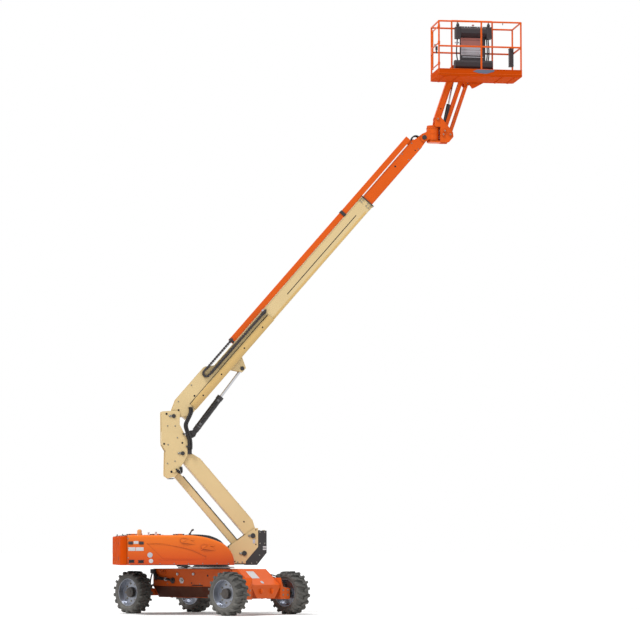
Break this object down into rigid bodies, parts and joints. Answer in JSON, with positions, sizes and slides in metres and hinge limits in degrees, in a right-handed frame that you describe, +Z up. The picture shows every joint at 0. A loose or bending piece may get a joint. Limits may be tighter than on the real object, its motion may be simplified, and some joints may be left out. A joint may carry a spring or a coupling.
{
  "type": "articulating boom lift",
  "caption": "Articulating boom lift: wheeled chassis, slewing turntable with hoods, tower, telescopic boom, short jib and railed work platform.",
  "frame": {"origin": "on the floor, under the middle of the whole machine's bounding box", "axes": "+X along the booms toward the platform, +Y to the booms' left, +Z up; the chassis is slewed from the booms"},
  "size_m": [8.6124, 4.3554, 12.89],
  "materials": {
    "orange_paint": "gloss",
    "cream_paint": "gloss",
    "black_paint": "satin",
    "chromed_rod": "polished",
    "grey_metal": "matte",
    "dark_plastic": "matte",
    "amber_lens": "gloss",
    "tyre_rubber": "matte",
    "rim_paint": "satin"
  },
  "bodies": {
    "chassis": {"chassis_frame": "orange_paint", "lashing_eyes": "orange_paint", "drive_axle": "orange_paint", "steer_axle": "orange_paint", "slew_ring": "black_paint"},
    "knuckle_left": {"knuckle_left": "black_paint"},
    "knuckle_right": {"knuckle_right": "black_paint"},
    "steering_link": {"tie_rod": "black_paint"},
    "wheel_steer_left": {"tyre_steer_left": "tyre_rubber", "rim_steer_left": "rim_paint"},
    "wheel_steer_right": {"tyre_steer_right": "tyre_rubber", "rim_steer_right": "rim_paint"},
    "wheel_drive_left": {"tyre_drive_left": "tyre_rubber", "rim_drive_left": "rim_paint"},
    "wheel_drive_right": {"tyre_drive_right": "tyre_rubber", "rim_drive_right": "rim_paint"},
    "turntable": {"turntable_deck": "black_paint", "counterweight": "orange_paint", "engine_block": "grey_metal", "tank_block": "black_paint", "tower_base": "cream_paint", "base_guard": "black_paint"},
    "door_left": {"hood_left": "orange_paint"},
    "door_right": {"hood_right": "orange_paint", "beacon": "amber_lens"},
    "tower": {"tower_arm": "cream_paint"},
    "tower_parallel": {"tower_link": "cream_paint"},
    "upright": {"upright": "cream_paint", "cylinder_bracket": "black_paint"},
    "main_boom": {"boom_base": "cream_paint", "cable_chain": "black_paint"},
    "fly_boom": {"fly_tube": "orange_paint", "push_tube": "orange_paint"},
    "boom_barrel": {"lift_barrel": "black_paint"},
    "boom_rod": {"lift_rod": "chromed_rod"},
    "nose": {"boom_nose": "orange_paint"},
    "jib_base": {"jib_mount": "orange_paint"},
    "jib": {"jib_arm": "orange_paint"},
    "jib_lower": {"jib_bars": "orange_paint"},
    "jib_levelling": {"jib_rods": "orange_paint"},
    "jib_cylinder": {"jib_barrel": "black_paint"},
    "jib_ram": {"jib_piston_rod": "chromed_rod"},
    "support": {"platform_support": "orange_paint"},
    "platform": {"platform_mount": "orange_paint", "platform_floor": "orange_paint", "platform_rails": "orange_paint", "control_console": "dark_plastic", "tool_box": "dark_plastic", "foot_switch": "grey_metal"},
    "gate": {"platform_gate": "orange_paint"}
  },
  "joints": [
    {"name": "steer", "type": "hinge", "parent": "chassis", "child": "knuckle_left", "pos_m": [-2.62718, 1.56557, 0.457], "axis": [0, 0, 1], "range_deg": [-35, 35]},
    {"name": "steer_other", "type": "hinge", "parent": "chassis", "child": "knuckle_right", "pos_m": [-3.71018, 0.71028, 0.457], "axis": [0, 0, 1], "range_deg": [-36, 36]},
    {"name": "tie_rod_pivot", "type": "hinge", "parent": "knuckle_left", "child": "steering_link", "pos_m": [-2.73255, 1.69899, 0.457], "axis": [0, 0, 1], "range_deg": [-36, 36]},
    {"name": "roll_steer_left", "type": "hinge", "parent": "knuckle_left", "child": "wheel_steer_left", "pos_m": [-2.44669, 1.70812, 0.457], "axis": [0.7848, 0.6198, 0], "continuous": true},
    {"name": "roll_steer_right", "type": "hinge", "parent": "knuckle_right", "child": "wheel_steer_right", "pos_m": [-3.89067, 0.56773, 0.457], "axis": [0.7848, 0.6198, 0], "continuous": true},
    {"name": "roll_drive_left", "type": "hinge", "parent": "chassis", "child": "wheel_drive_left", "pos_m": [-0.64933, -0.56773, 0.457], "axis": [0.7848, 0.6198, 0], "continuous": true},
    {"name": "roll_drive_right", "type": "hinge", "parent": "chassis", "child": "wheel_drive_right", "pos_m": [-2.09331, -1.70812, 0.457], "axis": [0.7848, 0.6198, 0], "continuous": true},
    {"name": "swing", "type": "hinge", "parent": "chassis", "child": "turntable", "pos_m": [-2.27, 0, 1.005], "axis": [0, 0, 1], "range_deg": [-180, 180]},
    {"name": "door_left_hinge", "type": "hinge", "parent": "turntable", "child": "door_left", "pos_m": [-3.47, 0.324, 1.689], "axis": [1, 0, 0], "range_deg": [0, 60]},
    {"name": "door_right_hinge", "type": "hinge", "parent": "turntable", "child": "door_right", "pos_m": [-3.47, -0.324, 1.689], "axis": [-1, 0, 0], "range_deg": [0, 60]},
    {"name": "tower_lift", "type": "hinge", "parent": "turntable", "child": "tower", "pos_m": [-1.392, 0, 1.665], "axis": [0, -1, 0], "range_deg": [-15, 48]},
    {"name": "tower_link_pivot", "type": "hinge", "parent": "turntable", "child": "tower_parallel", "pos_m": [-1.577, 0, 1.29], "axis": [0, -1, 0], "range_deg": [-16, 49]},
    {"name": "upright_level", "type": "hinge", "parent": "tower", "child": "upright", "pos_m": [-2.90467, 0, 3.41744], "axis": [0, -1, 0], "range_deg": [-49, 16]},
    {"name": "boom_lift", "type": "hinge", "parent": "upright", "child": "main_boom", "pos_m": [-3.099, 0, 4.212], "axis": [0, -1, 0], "range_deg": [-49.1, 25.9]},
    {"name": "telescope", "type": "slide", "parent": "main_boom", "child": "fly_boom", "axis": [0.6547, 0, 0.7559], "range_m": [-1.5, 1.9]},
    {"name": "lift_barrel_pivot", "type": "hinge", "parent": "upright", "child": "boom_barrel", "pos_m": [-2.665, 0, 3.85], "axis": [0, -1, 0], "range_deg": [-53.05, 28.45]},
    {"name": "lift_stroke", "type": "slide", "parent": "boom_barrel", "child": "boom_rod", "axis": [0.5989, 0, 0.8009], "range_m": [-0.4163, 0.222]},
    {"name": "nose_level", "type": "hinge", "parent": "fly_boom", "child": "nose", "pos_m": [2.36511, 0, 10.3275], "axis": [0, -1, 0], "range_deg": [-26.9, 50.1]},
    {"name": "jib_swing", "type": "hinge", "parent": "nose", "child": "jib_base", "pos_m": [2.571, 0, 10.27], "axis": [0, 0, -1], "range_deg": [-90, 90]},
    {"name": "jib_lift", "type": "hinge", "parent": "jib_base", "child": "jib", "pos_m": [2.66, 0, 10.74], "axis": [0, -1, 0], "range_deg": [-106, 4]},
    {"name": "jib_bars_pivot", "type": "hinge", "parent": "jib_base", "child": "jib_lower", "pos_m": [2.815, 0, 10.48], "axis": [0, -1, 0], "range_deg": [-107, 5]},
    {"name": "jib_rods_pivot", "type": "hinge", "parent": "jib_base", "child": "jib_levelling", "pos_m": [2.935, 0, 10.4], "axis": [0, -1, 0], "range_deg": [-107, 5]},
    {"name": "jib_cylinder_pivot", "type": "hinge", "parent": "jib_base", "child": "jib_cylinder", "pos_m": [2.78, 0, 10.4], "axis": [0, -1, 0], "range_deg": [-96.93, 4.62]},
    {"name": "jib_stroke", "type": "slide", "parent": "jib_cylinder", "child": "jib_ram", "axis": [0.2058, 0, 0.9786], "range_m": [-0.5526, 0.0257]},
    {"name": "platform_level", "type": "hinge", "parent": "jib", "child": "support", "pos_m": [3.04672, 0, 11.87598], "axis": [0, -1, 0], "range_deg": [-5, 107]},
    {"name": "platform_rotate", "type": "hinge", "parent": "support", "child": "platform", "pos_m": [3.49, 0, 11.58], "axis": [0, 0, 1], "range_deg": [0, 180]},
    {"name": "gate_hinge", "type": "hinge", "parent": "platform", "child": "gate", "pos_m": [2.481, -1.2435, 11.67], "axis": [0, 0, -1], "range_deg": [0, 80]}
  ],
  "couplings": [
    {"joint": "steer_other", "follows": "steer", "ratio": 1},
    {"joint": "tie_rod_pivot", "follows": "steer", "ratio": -1},
    {"joint": "tower_link_pivot", "follows": "tower_lift", "ratio": 1},
    {"joint": "upright_level", "follows": "tower_lift", "ratio": -1},
    {"joint": "lift_barrel_pivot", "follows": "boom_lift", "ratio": 1.06},
    {"joint": "lift_stroke", "follows": "boom_lift", "m_per_rad": 0.48},
    {"joint": "nose_level", "follows": "boom_lift", "ratio": -1},
    {"joint": "jib_bars_pivot", "follows": "jib_lift", "ratio": 1},
    {"joint": "jib_rods_pivot", "follows": "jib_lift", "ratio": 1},
    {"joint": "jib_cylinder_pivot", "follows": "jib_lift", "ratio": 0.905},
    {"joint": "jib_stroke", "follows": "jib_lift", "m_per_rad": 0.296},
    {"joint": "platform_level", "follows": "jib_lift", "ratio": -1}
  ]
}
